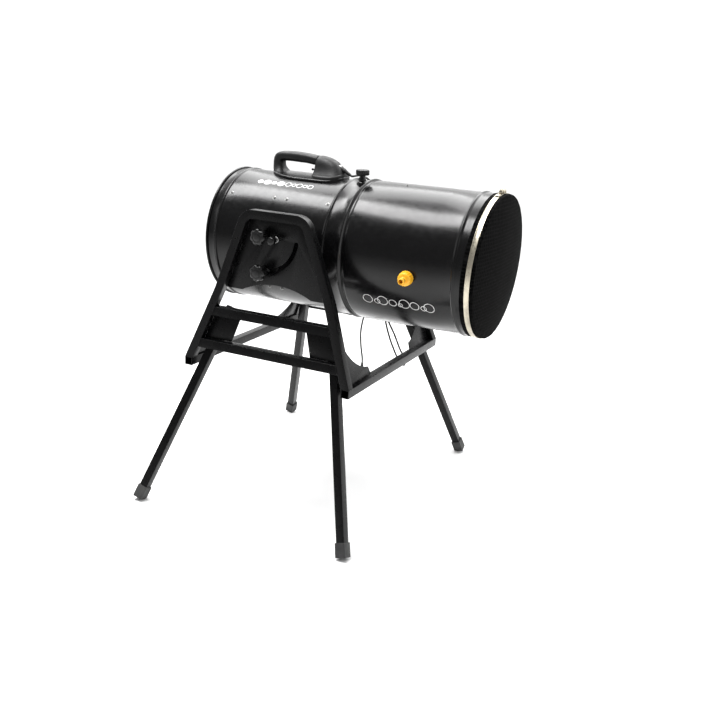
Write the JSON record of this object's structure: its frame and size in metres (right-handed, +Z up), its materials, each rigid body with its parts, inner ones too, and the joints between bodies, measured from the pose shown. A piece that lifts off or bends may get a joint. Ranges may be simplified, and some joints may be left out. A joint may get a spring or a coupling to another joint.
{
  "type": "foam machine",
  "caption": "Foam machine with a blower drum and mesh-covered foam chamber that tilt together on a splayed steel stand, with carrying handle, hose inlet and mains lead.",
  "frame": {"origin": "centre of the footprint on the floor, under the middle of the object's overall length and width", "axes": "+X along the drum towards the mesh-covered outlet, +Y to the far side away from the hose inlet, +Z up"},
  "size_m": [0.9398, 0.9246, 1.0203],
  "materials": {
    "drum_paint": "smooth high-gloss black enamel on rolled sheet",
    "frame_paint": "satin black powder coat with a fine orange peel",
    "black_plastic": "moulded black plastic, fine grain",
    "inner_plastic": "moulded dark grey plastic",
    "foot_rubber": "dull black moulded rubber",
    "lead_rubber": "black flexible cord sheath, slight sheen",
    "zinc_band": "yellowish zinc-plated steel strip",
    "bright_steel": "bright plated steel",
    "guard_wire": "black coated wire",
    "inlet_plastic": "yellow-orange moulded plastic",
    "mesh_fabric": "fine black woven mesh",
    "motor_casting": "grey cast housing"
  },
  "bodies": {
    "stand": {"far_frame_hoop": "frame_paint", "far_front_corner_plate": "frame_paint", "far_front_foot": "foot_rubber", "far_front_gusset": "frame_paint", "far_front_leg": "frame_paint", "far_lower_crossbar": "frame_paint", "far_pivot_plate": "frame_paint", "far_rear_corner_plate": "frame_paint", "far_rear_foot": "foot_rubber", "far_rear_gusset": "frame_paint", "far_rear_leg": "frame_paint", "far_upper_crossbar": "frame_paint", "front_cross_tube": "frame_paint", "near_frame_hoop": "frame_paint", "near_front_corner_plate": "frame_paint", "near_front_foot": "foot_rubber", "near_front_gusset": "frame_paint", "near_front_leg": "frame_paint", "near_lower_crossbar": "frame_paint", "near_pivot_plate": "frame_paint", "near_rear_corner_plate": "frame_paint", "near_rear_foot": "foot_rubber", "near_rear_gusset": "frame_paint", "near_rear_leg": "frame_paint", "near_upper_crossbar": "frame_paint", "rear_cross_tube": "frame_paint", "plunger_sleeve": "bright_steel", "cord_hook": "black_plastic", "mains_lead": "lead_rubber", "mains_plug": "lead_rubber"},
    "plunger": {"plunger_knob": "black_plastic"},
    "drum": {"blower_drum": "drum_paint", "rear_guard": "guard_wire", "motor_bracket": "frame_paint", "fan_motor": "motor_casting", "near_tilt_bracket": "frame_paint", "far_tilt_bracket": "frame_paint", "near_pivot_bolt": "bright_steel", "far_pivot_bolt": "bright_steel", "near_clamp_stud": "bright_steel", "far_clamp_stud": "bright_steel", "handle_saddle": "black_plastic", "handle_grip": "black_plastic", "switch_housing": "black_plastic", "cord_gland": "lead_rubber"},
    "fan": {"impeller": "inner_plastic"},
    "near_pivot_knob": {"near_pivot_knob": "black_plastic"},
    "far_pivot_knob": {"far_pivot_knob": "black_plastic"},
    "near_clamp_knob": {"near_clamp_knob": "black_plastic"},
    "far_clamp_knob": {"far_clamp_knob": "black_plastic"},
    "button": {"switch_button": "black_plastic"},
    "chamber": {"foam_chamber": "drum_paint", "mesh_cover": "mesh_fabric", "hose_clamp": "zinc_band", "hose_connector": "inlet_plastic", "feed_pipe": "bright_steel", "spray_nozzle": "inner_plastic"},
    "thumb_screw": {"thumb_screw": "black_plastic"},
    "worm_screw": {"clamp_worm_screw": "zinc_band"}
  },
  "joints": [
    {"name": "plunger_pull", "type": "slide", "parent": "stand", "child": "plunger", "axis": [0, -1, 0], "range_m": [0, 0.007], "stiffness_N_per_m": 400, "springref_m": -0.004},
    {"name": "drum_tilt", "type": "hinge", "parent": "stand", "child": "drum", "pos_m": [-0.14926, 0, 0.81], "axis": [0, -1, 0], "range_deg": [0, 80], "deforming": ["mains_lead"]},
    {"name": "fan_spin", "type": "hinge", "parent": "drum", "child": "fan", "pos_m": [-0.09226, 0, 0.76], "axis": [1, 0, 0], "continuous": true},
    {"name": "near_pivot_knob_turn", "type": "hinge", "parent": "drum", "child": "near_pivot_knob", "pos_m": [-0.14926, -0.28, 0.81], "axis": [0, -1, 0], "range_deg": [0, 540]},
    {"name": "far_pivot_knob_turn", "type": "hinge", "parent": "drum", "child": "far_pivot_knob", "pos_m": [-0.14926, 0.28, 0.81], "axis": [0, 1, 0], "range_deg": [0, 540]},
    {"name": "near_clamp_knob_turn", "type": "hinge", "parent": "drum", "child": "near_clamp_knob", "pos_m": [-0.14926, -0.28, 0.709], "axis": [0, -1, 0], "range_deg": [0, 540]},
    {"name": "far_clamp_knob_turn", "type": "hinge", "parent": "drum", "child": "far_clamp_knob", "pos_m": [-0.14926, 0.28, 0.709], "axis": [0, 1, 0], "range_deg": [0, 540]},
    {"name": "button_press", "type": "slide", "parent": "drum", "child": "button", "axis": [1, 0, 0], "range_m": [0, 0.004], "stiffness_N_per_m": 300, "springref_m": -0.002},
    {"name": "chamber_pull", "type": "slide", "parent": "drum", "child": "chamber", "axis": [1, 0, 0], "range_m": [0, 0.045]},
    {"name": "thumb_screw_turn", "type": "hinge", "parent": "chamber", "child": "thumb_screw", "pos_m": [0.03874, -0.045, 0.96], "axis": [0, 0, 1], "range_deg": [0, 720]},
    {"name": "worm_screw_turn", "type": "hinge", "parent": "chamber", "child": "worm_screw", "pos_m": [0.44173, 0, 0.9703], "axis": [0, -1, 0], "range_deg": [0, 1080]}
  ]
}
